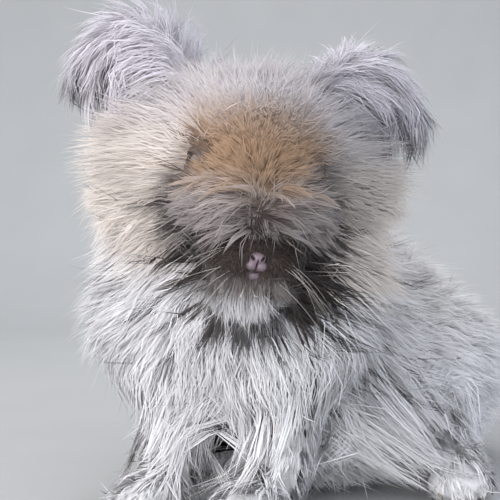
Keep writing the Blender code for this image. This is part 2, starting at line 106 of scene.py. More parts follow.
def in_head(points):
    """Points of the model in the head's own frame, in mm."""
    inverse = np.array(HEAD.inverted())
    return (points @ inverse[:3, :3].T + inverse[:3, 3]) / MM


# The flesh.


@dataclass
class Egg:
    """An egg in mm: centre, then half width, front, back, up and down of the skin and of its coat."""

    centre: tuple
    skin: tuple
    coat: tuple = (0, 0, 0, 0, 0)
    turn: tuple = (0, 0, 0)
    plan_power: float = 2.0
    rise_power: float = 2.0
    frame: Matrix = field(default_factory=lambda: Matrix.Identity(4))

    def matrix(self):
        angles = Euler([math.radians(a) for a in self.turn])
        here = Matrix.Translation(Vector(self.centre) * MM)
        return self.frame @ here @ angles.to_matrix().to_4x4()

    def add_to(self, bm, share=0.0, segments=40, rings=28):
        """Adds the egg to a bmesh, at this share of the coat's depth."""
        wide, front, back, up, down = ((s + share * c) * MM for s, c in zip(self.skin, self.coat))
        made = bmesh.ops.create_uvsphere(bm, u_segments=segments, v_segments=rings, radius=1)
        a, b = self.plan_power, self.rise_power
        matrix = self.matrix()
        for v in made["verts"]:
            x, y, z = v.co
            flat = (abs(x) ** a + abs(y) ** a) ** (b / a)
            reach = (flat + abs(z) ** b) ** (-1 / b)
            size = Vector((wide, front if y < 0 else back, down if z < 0 else up))
            v.co = matrix @ (reach * Vector((x, y, z)) * size)

    def level(self, points):
        """1 on the egg's skin, less inside it and more outside."""
        inverse = np.array(self.matrix().inverted())
        local = points @ inverse[:3, :3].T + inverse[:3, 3]
        wide, front, back, up, down = (s * MM for s in self.skin)
        x = local[:, 0] / wide
        y = local[:, 1] / np.where(local[:, 1] < 0, front, back)
        z = local[:, 2] / np.where(local[:, 2] < 0, down, up)
        a, b = self.plan_power, self.rise_power
        flat = (np.abs(x) ** a + np.abs(y) ** a) ** (b / a)
        return (flat + np.abs(z) ** b) ** (1 / b)


HIND_FEET = {"left": ((68, 66), (112, -42)), "right": ((-66, 62), (-86, -34))}
FORE_FEET = {"left": ((29, -104), (23, -166)), "right": ((-32, -106), (-36, -154))}


def foot(heel, toes, half_width, height, coat):
    """A furred foot along the floor: its sole and, rounder and lower, its bunched toes."""
    heel, toes = Vector(heel), Vector(toes)
    run = toes - heel
    turn = math.degrees(math.atan2(run.x, -run.y))
    ball = toes - run.normalized() * half_width
    way = dict(turn=(0, 0, turn), rise_power=2.4)
    sole = Egg(
        (*((heel + toes) / 2), height * 0.45),
        (half_width, run.length / 2, run.length / 2, height * 0.55, height * 0.44),
        (coat, coat / 2, coat, coat, 0),
        **way,
    )
    toe_end = Egg(
        (*ball, height * 0.38),
        (half_width * 1.1, half_width, half_width, height * 0.4, height * 0.37),
        (coat * 0.8, coat * 0.8, 0, coat * 0.6, 0),
        **way,
    )
    return [sole, toe_end]


def shank(top, wrist, radius):
    """The upright part of a foreleg, from inside the chest down to the wrist."""
    top, wrist = Vector(top), Vector(wrist)
    run = wrist - top
    return Egg(
        centre=tuple((top + wrist) / 2),
        skin=(radius, radius, radius, run.length / 2 + 8, run.length / 2 + 8),
        coat=(9, 9, 9, 0, 0),
        turn=(math.degrees(math.atan2(run.y, -run.z)), 0, 0),
        rise_power=3,
    )


def haunch(side):
    """The thigh, folded along the side of the trunk."""
    return Egg((side * 60, 92, 56), (28, 56, 50, 48, 50), (26, 24, 22, 20, 6), plan_power=2.2)


FACE = [
    Egg((0, 4, 4), (33, 30, 30, 28, 28), (4, 4, 0, 6, 0), frame=HEAD),
    Egg((0, -19, -10), (28, 32, 28, 20, 20), (12, 10, 0, 9, 4), turn=(38, 0, 0), frame=HEAD),
    Egg((0, -36, -38), (20, 18, 18, 15, 15), (5, 2, 0, 2, 6), frame=HEAD),
    Egg((9, -43, -42), (11, 11, 12, 11, 10), (4, 2, 0, 0, 4), frame=HEAD),
    Egg((-9, -43, -42), (11, 11, 12, 11, 10), (4, 2, 0, 0, 4), frame=HEAD),
    Egg((0, -35, -54), (12, 13, 14, 9, 8), (4, 2, 0, 0, 6), frame=HEAD),
]
FLESH = {
    "face": FACE,
    "ruff": [Egg((0.8, 36, -6), (30, 34, 34, 34, 34), (60, 28, 38, 28, 42), frame=HEAD)],
    "neck": [Egg((-3, -66, 142), (38, 34, 44, 45, 45), (34, 26, 30, 12, 10))],
    "chest": [Egg((-8, -84, 104), (52, 42, 50, 58, 40), (42, 28, 10, 10, 20), plan_power=2.2)],
    "trunk": [
        Egg((0, 45, 42), (68, 118, 118, 106, 60), (40, 25, 27, 40, 8), (0, 0, 0), 2.2, 1.55)
    ],
    "tail": [Egg((2, 172, 66), (11, 16, 16, 24, 20), (20, 8, 20, 14, 12))],
}
for side_name, (wrist, toes) in FORE_FEET.items():
    upright = shank((wrist[0] + 1.3, wrist[1], 82), (wrist[0] + 0.9, wrist[1] - 8, 20), 12)
    FLESH[f"foreleg_{side_name}"] = [upright, *foot(wrist, toes, 14, 22, 9)]
for side_name, (heel, toes) in HIND_FEET.items():
    FLESH[f"thigh_{side_name}"] = [haunch(SIDES[side_name])]
    FLESH[f"foot_{side_name}"] = foot(heel, toes, 16, 24, 9)
LABELS = list(FLESH)


def apply_modifiers(obj):
    graph = bpy.context.evaluated_depsgraph_get()
    mesh = bpy.data.meshes.new_from_object(obj.evaluated_get(graph))
    obj.modifiers.clear()
    obj.data = mesh


def placed(name, data):
    """A new object of the scene."""
    obj = bpy.data.objects.new(name, data)
    bpy.context.scene.collection.objects.link(obj)
    return obj


def new_object(name, bm):
    mesh = bpy.data.meshes.new(name)
    bm.to_mesh(mesh)
    bm.free()
    return placed(name, mesh)


def remeshed(name, bm, voxel, rounds):
    """An object of the one surface around all that the bmesh holds, smoothed this many rounds."""
    obj = new_object(name, bm)
    remesh = obj.modifiers.new("remesh", "REMESH")
    remesh.mode = "VOXEL"
    remesh.voxel_size = voxel * MM
    relax = obj.modifiers.new("relax", "SMOOTH")
    relax.factor = 0.5
    relax.iterations = rounds
    apply_modifiers(obj)
    return obj


def flesh_shell(name, share, voxel, rounds):
    """The surface around the flesh, at this share of the coat's depth, and none of it in the floor."""
    bm = bmesh.new()
    for eggs in FLESH.values():
        for egg in eggs:
            egg.add_to(bm, share)
    obj = remeshed(name, bm, voxel, rounds)
    for vertex in obj.data.vertices:
        vertex.co.z = max(vertex.co.z, SKIN_CLEAR * MM)
    return obj


# The ears.


@dataclass
class Ear:
    """A folded ear: a trough that arches out of the head, opens below, and droops to its tip.

    Its ridge is a curve from the base through the bend to the tip, in the head's own frame and in mm.
    """

    base: tuple
    bend: tuple
    tip: tuple
    side: int

    def ridge(self, along):
        base, bend, tip = (HEAD @ (Vector(p) * MM) for p in (self.base, self.bend, self.tip))
        return base * (1 - along) ** 2 + bend * 2 * along * (1 - along) + tip * along**2

    def frame(self, along):
        """The ridge's point, and the directions along it, into the opening and to the front rim."""
        ahead = (self.ridge(along + 0.01) - self.ridge(along - 0.01)).normalized()
        front = HEAD.to_3x3() @ FRONT_RIM
        front = (front - ahead * front.dot(ahead)).normalized()
        return self.ridge(along), ahead, ahead.cross(front) * self.side, front

    def point(self, along, across, off):
        """A point of the ear: along from 0 to 1, across from -1 to 1, off the middle of its wall."""
        ridge, _, opening, front = self.frame(along)
        arch = math.sin(math.pi * (EAR_ARCH_FROM + EAR_ARCH * along))
        swell = EAR_ROOT_WIDTH + EAR_BULGE * arch
        tip = max(0.0, (along - EAR_TIP_FROM) / (1 - EAR_TIP_FROM))
        half_width = EAR_HALF_WIDTH * MM * swell * (1 - EAR_TIP_CUT * tip**EAR_TIP_POWER)
        opened = min(1.0, along / EAR_OPEN_BY)
        half_angle = math.radians(EAR_WRAP + (EAR_FLARE - EAR_WRAP) * opened)
        radius = half_width / math.sin(min(half_angle, math.pi / 2))
        angle = across * half_angle
        out = radius + off
        return ridge + front * out * math.sin(angle) + opening * (radius - out * math.cos(angle))

    def add_to(self, bm):
        def sheet(off):
            return [
                [bm.verts.new(self.point(r, c, off)) for c in np.linspace(-1, 1, EAR_COLUMNS)]
                for r in np.linspace(0, 1, EAR_ROWS)
            ]

        wall = EAR_WALL * MM / 2
        outer, inner = sheet(wall), sheet(-wall)
        for a, b in zip(outer, outer[1:]):
            bridge(bm, a, b)
        for a, b in zip(inner, inner[1:]):
            bridge(bm, b, a)
        bridge(bm, inner[0], outer[0])
        bridge(bm, outer[-1], inner[-1])
        bridge(bm, [row[0] for row in outer], [row[0] for row in inner])
        bridge(bm, [row[-1] for row in inner], [row[-1] for row in outer])


def bridge(bm, a, b):
    """Faces between two rows of vertices."""
    for a1, a2, b1, b2 in zip(a, a[1:], b, b[1:]):
        bm.faces.new((a1, a2, b2, b1))


def bridge_round(bm, rings):
    """Faces from each closed ring of vertices to the next."""
    for a, b in zip(rings, rings[1:]):
        bridge(bm, [*a, a[0]], [*b, b[0]])


EARS = {
    "left": Ear(base=(24, 34, 32), bend=(72, 60, 92), tip=(97, 56, 40), side=1),
    "right": Ear(base=(-22, 38, 30), bend=(-70, 82, 98), tip=(-92, 68, 38), side=-1),
}


# The skin, with an unwrap of its own shape, and what the coat reads from it.

SKIN_VOXEL, SKIN_ROUNDS = 1.8, 4
TIPS_VOXEL, TIPS_ROUNDS = 4, 4
SKIN_CLEAR = 0.5
ISLAND_ANGLE, ISLAND_MARGIN = 66, 0.002


def unwrap(obj):
    bpy.context.view_layer.objects.active = obj
    for other in bpy.context.selected_objects:
        other.select_set(False)
    obj.select_set(True)
    bpy.ops.object.mode_set(mode="EDIT")
    bpy.ops.mesh.select_all(action="SELECT")
    bpy.ops.uv.smart_project(
        angle_limit=math.radians(ISLAND_ANGLE), island_margin=ISLAND_MARGIN
    )
    bpy.ops.object.mode_set(mode="OBJECT")
    obj.select_set(False)
    obj.data.uv_layers.active.name = "OFBake"


EAR_ROWS, EAR_COLUMNS = 30, 22
EAR_POINTS = 2 * EAR_ROWS * EAR_COLUMNS


def make_skin():
    """The flesh and the ears as one object, and a tree of the flesh for the coat of the body."""
    flesh = flesh_shell("skin", 0.0, SKIN_VOXEL, SKIN_ROUNDS)
    tree = tree_of(flesh)
    bm = bmesh.new()
    bm.from_mesh(flesh.data)
    for ear in EARS.values():
        first = len(bm.faces)
        ear.add_to(bm)
        bm.faces.ensure_lookup_table()
        bmesh.ops.recalc_face_normals(bm, faces=bm.faces[first:])
    bm.to_mesh(flesh.data)
    bm.free()
    flesh.data.shade_smooth()
    unwrap(flesh)
    return flesh, tree


def tree_of(obj):
    bm = bmesh.new()
    bm.from_mesh(obj.data)
    return closed_tree(bm)


def closed_tree(bm):
    """The tree of a bmesh, which is freed."""
    tree = BVHTree.FromBMesh(bm)
    bm.free()
    return tree


def ear_tree(ear):
    bm = bmesh.new()
    ear.add_to(bm)
    bmesh.ops.recalc_face_normals(bm, faces=bm.faces)
    return closed_tree(bm)


def rows_of(items, name, width, kind=float):
    """One property of a mesh's vertices, corners or triangles, as rows of this many numbers."""
    values = np.empty(len(items) * width, kind)
    items.foreach_get(name, values)
    return values.reshape(-1, width)


class Ground:
    """The skin's triangles as arrays, each with the name of the flesh or ear that it is on."""

    def __init__(self, obj):
        mesh = obj.data
        mesh.calc_loop_triangles()
        corners = rows_of(mesh.loop_triangles, "vertices", 3, int)
        loops = rows_of(mesh.loop_triangles, "loops", 3, int)
        self.corners = rows_of(mesh.vertices, "co", 3)[corners]
        self.uvs = rows_of(mesh.uv_layers["OFBake"].uv, "vector", 2)[loops]
        across = np.cross(
            self.corners[:, 1] - self.corners[:, 0], self.corners[:, 2] - self.corners[:, 0]
        )
        self.areas = np.linalg.norm(across, axis=1) / 2
        self.normals = unit(across)
        self.centres = self.corners.mean(axis=1)
        self.labels = labels_at(self.centres)
        # The ears' points come last in the mesh, and those of the flesh are numbered below 0.
        first = len(mesh.vertices) - len(EARS) * EAR_POINTS
        on_ear = (np.arange(len(mesh.vertices)) - first) // EAR_POINTS
        number = on_ear[corners[:, 0]]
        self.labels = np.where(number >= 0, len(LABELS) + number, self.labels)
        self.ear_points = on_ear >= 0

    def spread(self, weights, count, rng):
        """Roots spread evenly by area times weight: their points, normals and uvs."""
        share = np.cumsum(self.areas * weights)
        picks = (np.arange(count) + rng.random(count)) / count * share[-1]
        faces = np.minimum(np.searchsorted(share, picks), len(share) - 1)
        a, b = np.sort(rng.random((2, count)), axis=0)
        bary = np.stack([a, b - a, 1 - b], axis=1)[:, :, None]
        points = np.sum(self.corners[faces] * bary, axis=1)
        uvs = np.sum(self.uvs[faces] * bary, axis=1)
        return points, self.normals[faces], uvs


def labels_at(points):
    """The number of the flesh that each point of the skin is on."""
    levels = [np.min([egg.level(points) for egg in eggs], axis=0) for eggs in FLESH.values()]
    return np.argmin(levels, axis=0)


# The markings, with some painted shade, which the skin and the coat share.

WHITE = np.array([0.88, 0.86, 0.88])
CREAM = np.array([0.82, 0.71, 0.63])
LILAC = np.array([0.65, 0.61, 0.67])
FAWN = np.array([0.41, 0.265, 0.17])
SMOKE = np.array([0.11, 0.08, 0.07])
SILVER = np.array([0.66, 0.61, 0.61])

# Where each marking and each patch of painted shade begins and where it is full, in mm and mostly in
# the head's own frame.
BACK_UP, BACK_BEHIND = (60, 130), (-60, 20)
FRONT_AHEAD, CROWN_UP = (14, -12), (-4, 38)
FAWN_WIDE, FAWN_UP, FAWN_DOWN = (50, 26), (-18, -2), (54, 10)
SMOKE_AHEAD, SMOKE_DOWN, SMOKE_WIDE, SMOKE_ROOTS_WIDE = (12, -8), (2, -16), (60, 40), (56, 36)
HOLLOW_DOWN, HOLLOW_UP, HOLLOW_WIDE, HOLLOW_AHEAD = (-22, -28), (-50, -42), (30, 18), (-20, -30)
CHIN_DOWN, CHIN_WIDE = (-46, -52), (24, 12)
BIB_DOWN, SHADED_EAR_DOWN = (-57, -67), (60, 30)
DRIFT, DRIFT_PATCH, DRIFT_SEED = 6, 24, 3.0


def blotch(points, size, seed):
    """Soft noise from -1 to 1 over the points, with patches about this many mm across."""
    at = points / (size * MM) + seed
    return np.array([noise.noise(Vector(p)) for p in at])


def markings(points, labels):
    """The colour at the root and at the tip of the hair that grows at these points of the skin, with
    painted shade in the hollow above the nose, on the far ear and at the roots.
    """
    q = in_head(points)
    x, y, z = np.abs(q[:, 0]), q[:, 1], q[:, 2]
    is_ear = labels >= len(LABELS)
    on_head = is_ear | np.isin(labels, numbers("face", "ruff"))
    drift = blotch(points, DRIFT_PATCH, DRIFT_SEED) * DRIFT
    front = on_head * smooth(*FRONT_AHEAD, y)

    def mix(colour, other, weight):
        return colour + (other - colour) * weight[:, None]

    tip = np.tile(WHITE, (len(points), 1))
    back = smooth(*BACK_UP, points[:, 2] / MM) * smooth(*BACK_BEHIND, points[:, 1] / MM)
    tip = mix(tip, CREAM, 0.35 * back)
    tip = mix(tip, CREAM, on_head * 0.8)
    tip = mix(tip, LILAC * 0.65 + CREAM * 0.25, on_head * smooth(*CROWN_UP, z + drift))
    low = z - 0.5 * np.maximum(q[:, 0] - 2, 0) + drift * 0.6
    fawn = front * smooth(*FAWN_WIDE, x + drift) * smooth(*FAWN_UP, low)
    fawn = fawn * smooth(*FAWN_DOWN, z + drift)
    tip = mix(tip, FAWN, fawn)
    smoke = front * smooth(*SMOKE_AHEAD, y) * smooth(*SMOKE_DOWN, low) * smooth(*SMOKE_WIDE, x)
    tip = mix(tip, SMOKE * 0.65 + SILVER * 0.35, smoke)
    # Painted shade: the hollow under the moustache is darkened to near black, as if shadowed by the
    # tufts over it.
    tip = mix(tip, SMOKE * 0.25, front * shaded_hollow(q))
    tip = mix(tip, SMOKE, front * smooth(*CHIN_DOWN, z) * smooth(*CHIN_WIDE, x) * 0.4)
    under_chin = on_head * smooth(*BIB_DOWN, z + 0.4 * drift)
    tip = mix(tip, WHITE, under_chin)
    tip = mix(tip, LILAC, is_ear * 0.9)
    # Painted shade: the lower part of the far ear (+x), which turns away from the key light, is
    # darkened.
    tip = mix(tip, LILAC * 0.45, is_ear * (q[:, 0] > 0) * smooth(*SHADED_EAR_DOWN, z))
    # Painted shade deep in the coat: the root is a little darker than the tip.
    root = tip * 0.96
    root = mix(root, SMOKE * 0.8, smoke * smooth(*SMOKE_ROOTS_WIDE, x) * (1 - under_chin))
    root = mix(root, FAWN * 0.55, fawn * 0.8)
    socket = around_eyes(q, SOCKET)
    return mix(root, SMOKE * 0.5, socket), mix(tip, SMOKE, socket * 0.7)


def shaded_hollow(q):
    """1 in the hollow between the moustache and the nose, which the moustache shades, and 0 away from
    it.
    """
    level = smooth(*HOLLOW_DOWN, q[:, 2]) * smooth(*HOLLOW_UP, q[:, 2])
    return level * smooth(*HOLLOW_WIDE, np.abs(q[:, 0])) * smooth(*HOLLOW_AHEAD, q[:, 1])


# Lies: the way that the coat runs over each place, as a direction at each point.


def row(x, y, z):
    return np.array([[x, y, z]], float)


def from_head(v):
    return np.asarray(v, float) @ HEAD_TURN.T


def lie_head(p):
    """Away from the parting over the nose, short of which the hair stands out from the face."""
    q = in_head(p)
    away = (q - np.array(PARTING)) / PARTING_REACH
    away = away * np.minimum(1, 1 / np.maximum(np.linalg.norm(away[:, ::2], axis=1), 1e-6))[:, None]
    away[:, 1] = smooth(-30, 10, q[:, 1]) * 0.6
    away[:, 2] = np.minimum(away[:, 2], 0.5)
    return from_head(away) + 0.3 * DOWN


def lie_moustache(p):
    side = np.sign(in_head(p)[:, :1])
    return side * from_head(row(1, 0, 0)) + 0.22 * DOWN


def lie_beard(p):
    side = 0.05 * in_head(p)[:, :1]
    return side * from_head(row(1, 0, 0)) + from_head(row(0, -0.1, 0)) + DOWN


def lie_body(p):
    return np.sign(p[:, :1]) * row(0.6, 0, 0) + row(0, 0.5, -1)


def hanging(fan, back, down=-1.0):
    """The lie of hair that hangs down, fans out from the middle and leans to the back."""
    def lie(p):
        return fan * p[:, :1] * row(1, 0, 0) + row(0, back, down)

    return lie


def lie_foot(heel, toes):
    ahead = unit(row(toes[0] - heel[0], toes[1] - heel[1], 0))
    start = row(*heel, 0) * MM

    def lie(p):
        away = (p - start) * row(1, 1, 0)
        return ahead * 0.5 + unit(away) * 0.5 + 0.8 * DOWN

    return lie


def lie_ear(ear):
    """Outward along the ear's ridge and over its rims, and down."""
    stations = np.linspace(0, 1, 21)
    frames = [ear.frame(t) for t in stations]
    ridges = np.array([f[0] for f in frames])
    aheads = np.array([f[1] for f in frames])

    def lie(p):
        nearest = np.argmin(np.linalg.norm(p[:, None] - ridges[None], axis=2), axis=1)
        beside = (p - ridges[nearest]) / (EAR_HALF_WIDTH * MM)
        return aheads[nearest] * 0.8 + beside + 0.5 * DOWN

    return lie


# Coats.


@dataclass
class Coat:
    """One piece of the coat, with sizes in mm.

    A tuft's length is stretch times the depth of the coat where it grows, or at least shortest.
    lift, where it isn't None, is the height of its tips in place of the coat's depth. full is
    the least and the most of that height that the tips of a tuft reach, and trim shortens it by
    place. A coat that is far_marked has the markings of where it runs, and another has those of
    its roots. frost is how far its tips turn silver.
    """

    name: str
    labels: tuple
    slot: str
    lie: Callable
    tufts: int
    strands: int
    where: Callable | None = None
    stretch: float = 1.25
    shortest: float = 8
    longest: float = 95
    width: float = 0.38
    stations: int = 3
    spread: float = 5.0
    gather: float = 1.0
    rise: float = 0.9
    cling: float = 1.0
    lift: float | None = None
    full: tuple = (0.82, 1.08)
    droop: float = 0.25
    stray: float = 0.15
    sway: float = 16
    crimp: float = 0.9
    broad: float = 2.0
    far_marked: bool = False
    frost: float = 0.0
    trim: Callable | None = None


def nearest_on(tree, points):
    """The surface's nearest points and normals there, and how far outside it the points are."""
    found = [tree.find_nearest(Vector(p)) for p in points]
    near = np.array([f[0] for f in found])
    normal = np.array([f[1] for f in found])
    return near, normal, np.sum((points - near) * normal, axis=1, keepdims=True)


def depth_over(near, out):
    """How deep the coat is over points of the skin."""
    found = [TIPS.ray_cast(Vector(p), Vector(n))[3] for p, n in zip(near, out)]
    return np.array([f or 0.0 for f in found])[:, None]


def along_skin(direction, normal):
    """The part of a direction that runs along the skin, at most 1 long."""
    flat = direction - normal * dot(direction, normal)
    return flat / np.maximum(1, np.linalg.norm(flat, axis=-1, keepdims=True))


def turned(v, axis, angle):
    """The directions turned about the axes by the angles."""
    return (
        v * np.cos(angle)
        + np.cross(axis, v) * np.sin(angle)
        + axis * dot(axis, v) * (1 - np.cos(angle))
    )


def guides(coat, tree, roots, normals, rng):
    """The middle line of each tuft as stations from its root to its tip, and the way out at each."""
    count = len(roots)
    if coat.lift is None:
        deep = depth_over(roots, normals)
    else:
        deep = np.full((count, 1), coat.lift * MM)
    length = np.clip(coat.stretch * deep, coat.shortest * MM, coat.longest * MM)
    length = length * rng.uniform(*LENGTHS, (count, 1))
    if coat.trim is not None:
        deep = deep * coat.trim(roots)
        length = length * coat.trim(roots)
    full = rng.uniform(*coat.full, (count, 1))
    together = blotch(roots, SWAY_PATCH, SWAY_SEED)[:, None] * SWAY_TOGETHER
    wave = together + rng.uniform(-1, 1, (count, 1)) * SWAY_APART
    sway = np.radians(coat.sway) * wave
    at, out = roots.copy(), normals.copy()
    centres, outs = [roots - normals * SINK * MM], [normals]
    for k in range(1, coat.stations + 1):
        share = k / coat.stations
        flow = turned(along_skin(coat.lie(at), out), out, sway * share)
        heading = unit(flow + out * coat_angle(deep, length) + DOWN * coat.droop * share)
        at = at + heading * length / coat.stations
        near, beside, far = nearest_on(tree, at)
        reach = depth_over(near, beside) if coat.lift is None else deep
        height = np.maximum(reach * full * share**coat.rise, LOWEST * MM)
        at = at + beside * (height - far) * np.where(far < height, 1, coat.cling)
        at[:, 2] = np.maximum(at[:, 2], FLOOR_CLEAR * MM * (1.5 - share))
        out = unit(out + beside)
        centres.append(at)
        outs.append(out)
    return np.stack(centres, 1), np.stack(outs, 1)


def coat_angle(deep, length):
    """How steeply a tuft of this length stands, so that it ends at the coat's depth."""
    sine = np.clip(deep / length, 0, 0.95)
    return sine / np.sqrt(1 - sine**2)


# How far in mm a root is sunk, how low a tuft may lie, and how clear of the floor.
SINK, LOWEST, FLOOR_CLEAR = 1.2, 0.4, 0.8
# The least and the most of its length that a tuft has, and that a strand of it has.
LENGTHS, REACHES = (0.75, 1.15), (0.74, 1.0)
# Tufts sway to the side with those of their patch, and by themselves.
SWAY_PATCH, SWAY_SEED, SWAY_TOGETHER, SWAY_APART = 16, 9.0, 0.7, 0.5
CRIMP_WAVES, TWIST, STRAY_REACH = 6, 0.35, 5.0


def strand_paths(coat, centres, outs, rng):
    """The lines of every strand: those of a tuft spread at its root and gather to its tip."""
    tufts, stations = centres.shape[:2]
    many = coat.strands
    along = np.gradient(centres, axis=1)
    side = unit(np.cross(along, outs))
    up = unit(np.cross(side, along))
    share = np.linspace(0, 1, stations)
    reach = rng.uniform(*REACHES, (tufts, many, 1)) * share
    low = np.clip((reach * (stations - 1)).astype(int), 0, stations - 2)
    part = (reach * (stations - 1) - low)[..., None]
    rows = np.arange(tufts)[:, None, None]

    def read(values):
        return values[rows, low] * (1 - part) + values[rows, low + 1] * part

    path, sides, ups = read(centres), unit(read(side)), unit(read(up))
    each = (tufts, many, 1, 1)
    share = share[None, None, :, None]
    ring = np.sqrt(rng.random(each)) * coat.spread * MM
    angle = rng.uniform(0, 2 * math.pi, each)
    width = 1 - (1 - coat.gather) * share**1.3
    path = path + sides * ring * np.cos(angle) * width
    path = path + ups * ring * np.sin(angle) * width * (0.25 + 0.75 * share) * 0.7
    phase = rng.uniform(0, 2 * math.pi, (tufts, 1, 1, 1)) + rng.uniform(-1, 1, each)
    bend = np.sin(phase + share * CRIMP_WAVES) * share
    path = path + sides * bend * coat.crimp * MM
    strays = rng.random(each) < coat.stray
    wild = rng.normal(0, 1, (tufts, many, 1, 3)) * STRAY_REACH * MM
    path = path + strays * wild * share**2
    path[..., 2] = np.maximum(path[..., 2], FLOOR_CLEAR * MM)
    spin = rng.uniform(-TWIST, TWIST, each)
    ups = unit(ups * np.cos(spin) + sides * np.sin(spin))
    flat = (tufts * many, stations, 3)
    outward = np.broadcast_to(outs[:, None], path.shape)
    return path.reshape(flat), ups.reshape(flat), outward.reshape(flat)


# The higher this is, the fewer strands of a tuft are broad locks and the more are fine.
BROAD_FEW = 2.5
# A strand's thickness, as a share of its width and at most, and how its width runs to its tip.
THICKNESS, THICKEST = 0.22, 0.5
TAPER_AT, TAPER = (0, 0.3, 0.7, 1), (0.7, 1.0, 0.75, 0.25)
PATCH = 0.003
STRAND_STEP = 3.7
TUFT_SHADES, STRAND_SHADES, LIGHTEST = (0.90, 1.07), (0.93, 1.05), 0.97
# How far a strand is shaded as part of the coat's surface, and not as a round hair of its own.
SOFTNESS = 0.78


def strand_faces(rings):
    """The triangles of one closed strand of three sides, with its tip as the last vertex."""
    faces = []
    for k in range(rings - 1):
        for i in range(3):
            a, b = 3 * k + i, 3 * k + (i + 1) % 3
            faces += [(b, a, b + 3), (b + 3, a, a + 3)]
    last, tip = 3 * (rings - 1), 3 * rings
    faces += [(last + (i + 1) % 3, last + i, tip) for i in range(3)]
    faces.append((0, 1, 2))
    return np.array(faces)


def at_corners(rings, tip):
    """What the rings of each strand have, for the three corners of each ring, and then its tip's."""
    return np.concatenate([np.repeat(rings, 3, axis=1), tip], axis=1)


def strand_mesh(name, coat, path, ups, outward, roots_uv, colours, rng):
    """Closed, tapered strands of three sides along the paths, as one mesh."""
    count, stations = path.shape[:2]
    rings = stations - 1
    each = rings * 3 + 1
    along = unit(np.gradient(path, axis=1))
    side = unit(np.cross(along, ups))
    up = np.cross(side, along)
    share = np.linspace(0, 1, stations)[:rings]
    taper = np.interp(share, TAPER_AT, TAPER)[None, :, None]
    broad = 1 + coat.broad * rng.random((count, 1, 1)) ** BROAD_FEW
    half = coat.width * MM / 2 * taper * broad
    thick = np.minimum(half * 2 * THICKNESS, THICKEST * MM)
    middle = path[:, :rings]
    corners = np.stack(
        [
            middle - side[:, :rings] * half - up[:, :rings] * thick * 0.35,
            middle + side[:, :rings] * half - up[:, :rings] * thick * 0.35,
            middle + up[:, :rings] * thick * 0.65,
        ],
        axis=2,
    )
    verts = np.concatenate([corners.reshape(count, rings * 3, 3), path[:, -1:]], axis=1)
    starts = np.arange(count) * each
    every = (strand_faces(rings)[None] + starts[:, None, None]).reshape(-1, 3)

    mesh = bpy.data.meshes.new(name)
    mesh.vertices.add(count * each)
    mesh.vertices.foreach_set("co", verts.astype(np.float32).ravel())
    mesh.loops.add(len(every) * 3)
    mesh.loops.foreach_set("vertex_index", every.astype(np.int32).ravel())
    mesh.polygons.add(len(every))
    mesh.polygons.foreach_set("loop_start", np.arange(len(every), dtype=np.int32) * 3)
    mesh.update(calc_edges=True)
    mesh.shade_smooth()
    round_off = unit(verts - at_corners(middle, path[:, -1:] - up[:, -1:]))
    leaning = at_corners(outward[:, :rings], outward[:, -1:])
    shading = unit(leaning * SOFTNESS + round_off * (1 - SOFTNESS))
    mesh.normals_split_custom_set_from_vertices(shading.reshape(-1, 3))

    # Where each vertex is along and across its strand, both from 0 to 1.
    level = np.append(np.repeat(share, 3), 1.0)
    corner = np.append(np.tile([0, 1, 0.5], rings), 0.5)
    tufts = len(roots_uv)
    many = count // tufts
    lay_patches(mesh, roots_uv, many, level, corner, every)
    tuft_shade = rng.uniform(*TUFT_SHADES, (tufts, 1, 1))
    shade = tuft_shade * rng.uniform(*STRAND_SHADES, (tufts, many, 1))
    by_corner = at_corners(colours[:, :rings], colours[:, -1:])
    colour = np.clip(by_corner[:, None] * shade[..., None], 0, LIGHTEST)
    set_colours(mesh, "coat", colour.reshape(-1, 3))
    lengths = np.linalg.norm(np.diff(path, axis=1), axis=2).sum(1)[:, None]
    place = [
        corner[None] * (half[:, 0, 0] * 2)[:, None] / MM,
        level[None] * lengths / MM,
        np.broadcast_to(np.arange(count)[:, None] * STRAND_STEP, (count, each)),
    ]
    set_colours(mesh, "strand", np.stack(place, axis=2).reshape(-1, 3))
    return mesh


def lay_patches(mesh, roots_uv, many, level, corner, every):
    """The map OFBake: each tuft's many strands side by side in a small patch at its root's place."""
    slot = np.tile(np.arange(many) / many, len(roots_uv))[:, None]
    u = np.repeat(roots_uv[:, 0], many)[:, None] + PATCH * (slot + corner[None] / many - 0.5)
    v = np.repeat(roots_uv[:, 1], many)[:, None] + PATCH * (level[None] - 0.5)
    uv = np.stack([u, v], axis=2).reshape(-1, 2)[every.ravel()]
    layer = mesh.uv_layers.new(name="OFBake")
    layer.uv.foreach_set("vector", uv.astype(np.float32).ravel())


def set_colours(mesh, name, colours):
    attribute = mesh.color_attributes.new(name, "FLOAT_COLOR", "POINT")
    rgba = np.concatenate([colours, np.ones((len(colours), 1))], axis=1)
    attribute.data.foreach_set("color", rgba.astype(np.float32).ravel())


def coat_colours(coat, roots, centres, labels, rng):
    """The colour of each tuft at each of its stations."""
    stations = range(centres.shape[1])
    if coat.far_marked:
        return np.stack([markings(centres[:, max(k, 1)], labels)[1] for k in stations], axis=1)
    root, tip = markings(roots, labels)
    tip = tip + (SILVER - tip) * np.minimum(coat.frost * rng.uniform(0, 2, (len(roots), 1)), 1)
    share = np.linspace(0, 1, centres.shape[1])[None, :, None] ** 1.2
    return root[:, None] * (1 - share) + tip[:, None] * share


